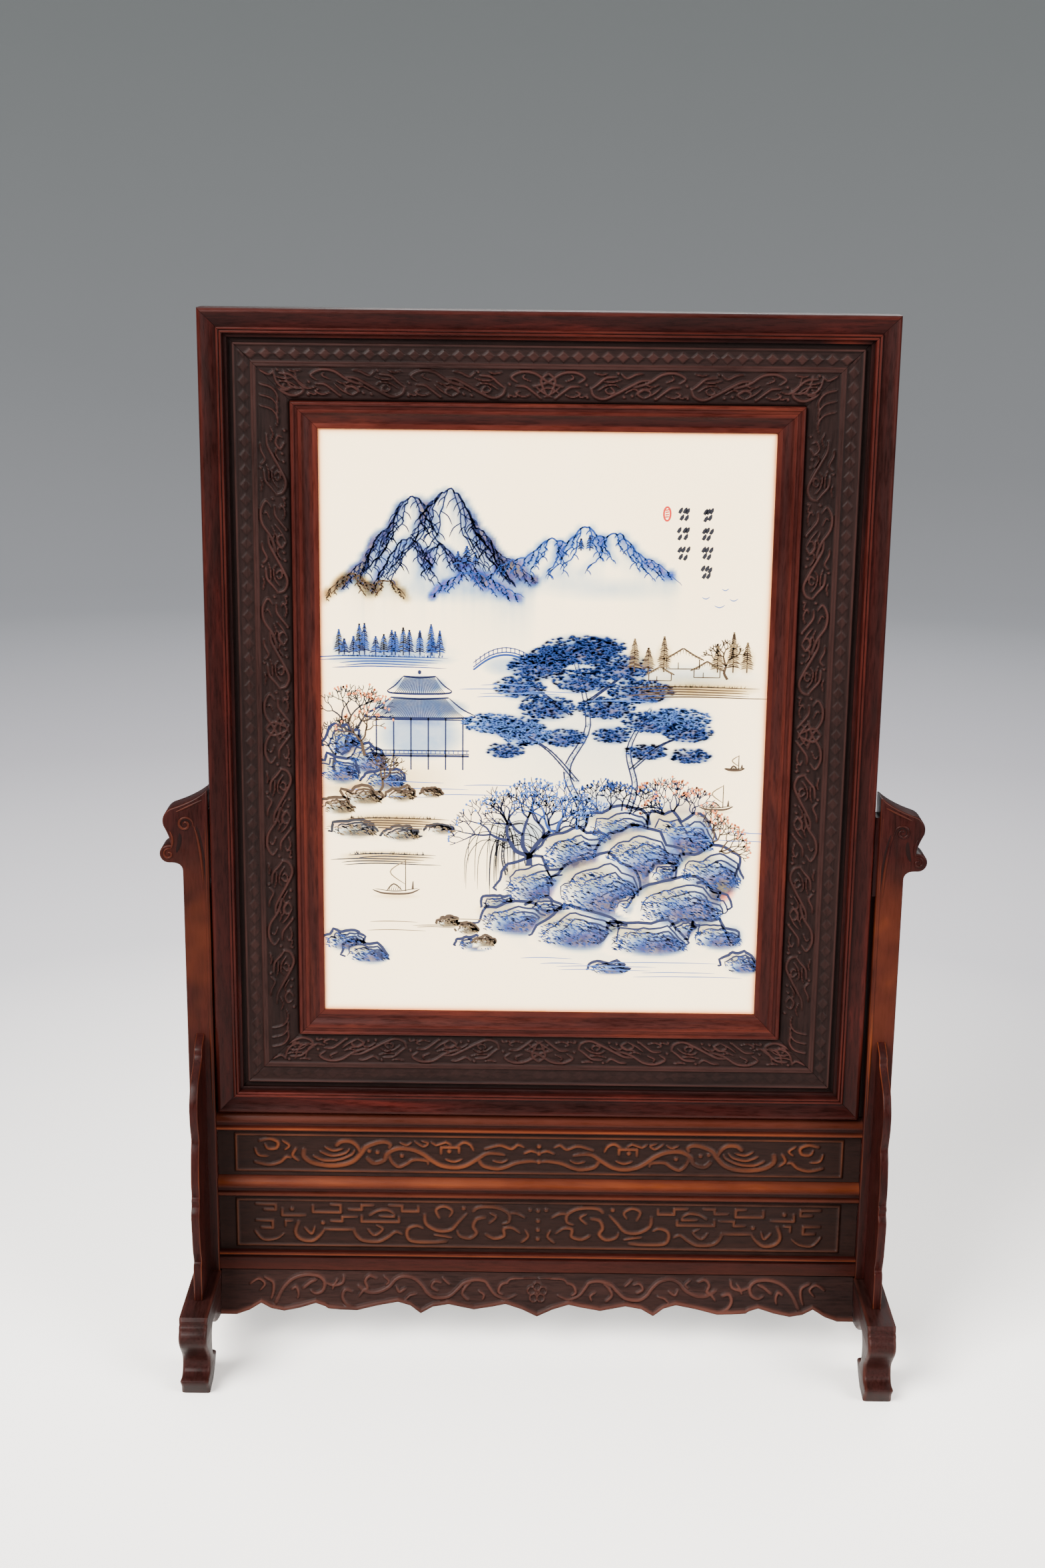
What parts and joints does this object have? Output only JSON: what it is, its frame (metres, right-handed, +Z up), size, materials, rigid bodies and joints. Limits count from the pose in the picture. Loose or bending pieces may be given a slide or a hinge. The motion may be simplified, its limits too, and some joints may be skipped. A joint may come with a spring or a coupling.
{
  "type": "hardwood table screen",
  "caption": "Standing table screen: a painted plaque in a carved, moulded hardwood frame that slides down between the posts of a carved stand.",
  "frame": {"origin": "on the floor, below the centre of the stand", "axes": "+Z up, the painted front faces -Y, +X to the right as seen from the front"},
  "size_m": [0.452, 0.147, 0.6364],
  "materials": {
    "dark_wood": "polished dark hardwood, near-black maroon brown, redder where it is rubbed",
    "carved_wood": "carved dark hardwood, dull in the hollows and warmer on the raised lines",
    "red_wood": "polished red-brown hardwood",
    "stand_wood": "polished dark hardwood with worn orange-brown arrises",
    "porcelain": "warm white glaze painted with a blue and brown landscape"
  },
  "bodies": {
    "root": {"frame_top": "dark_wood", "frame_bottom": "dark_wood", "frame_left": "dark_wood", "frame_right": "dark_wood", "border_top": "carved_wood", "border_bottom": "carved_wood", "border_left": "carved_wood", "border_right": "carved_wood", "moulding_top": "red_wood", "moulding_bottom": "red_wood", "moulding_left": "red_wood", "moulding_right": "red_wood", "plaque": "porcelain", "back_board": "dark_wood", "post_left": "stand_wood", "post_right": "stand_wood", "foot_left": "stand_wood", "foot_right": "stand_wood", "spandrel_front_left": "stand_wood", "spandrel_front_right": "stand_wood", "spandrel_back_left": "stand_wood", "spandrel_back_right": "stand_wood", "rail_upper": "stand_wood", "rail_middle": "stand_wood", "rail_lower": "stand_wood", "panel_upper": "carved_wood", "panel_lower": "carved_wood", "apron_front": "carved_wood", "apron_back": "carved_wood"}
  },
  "joints": []
}
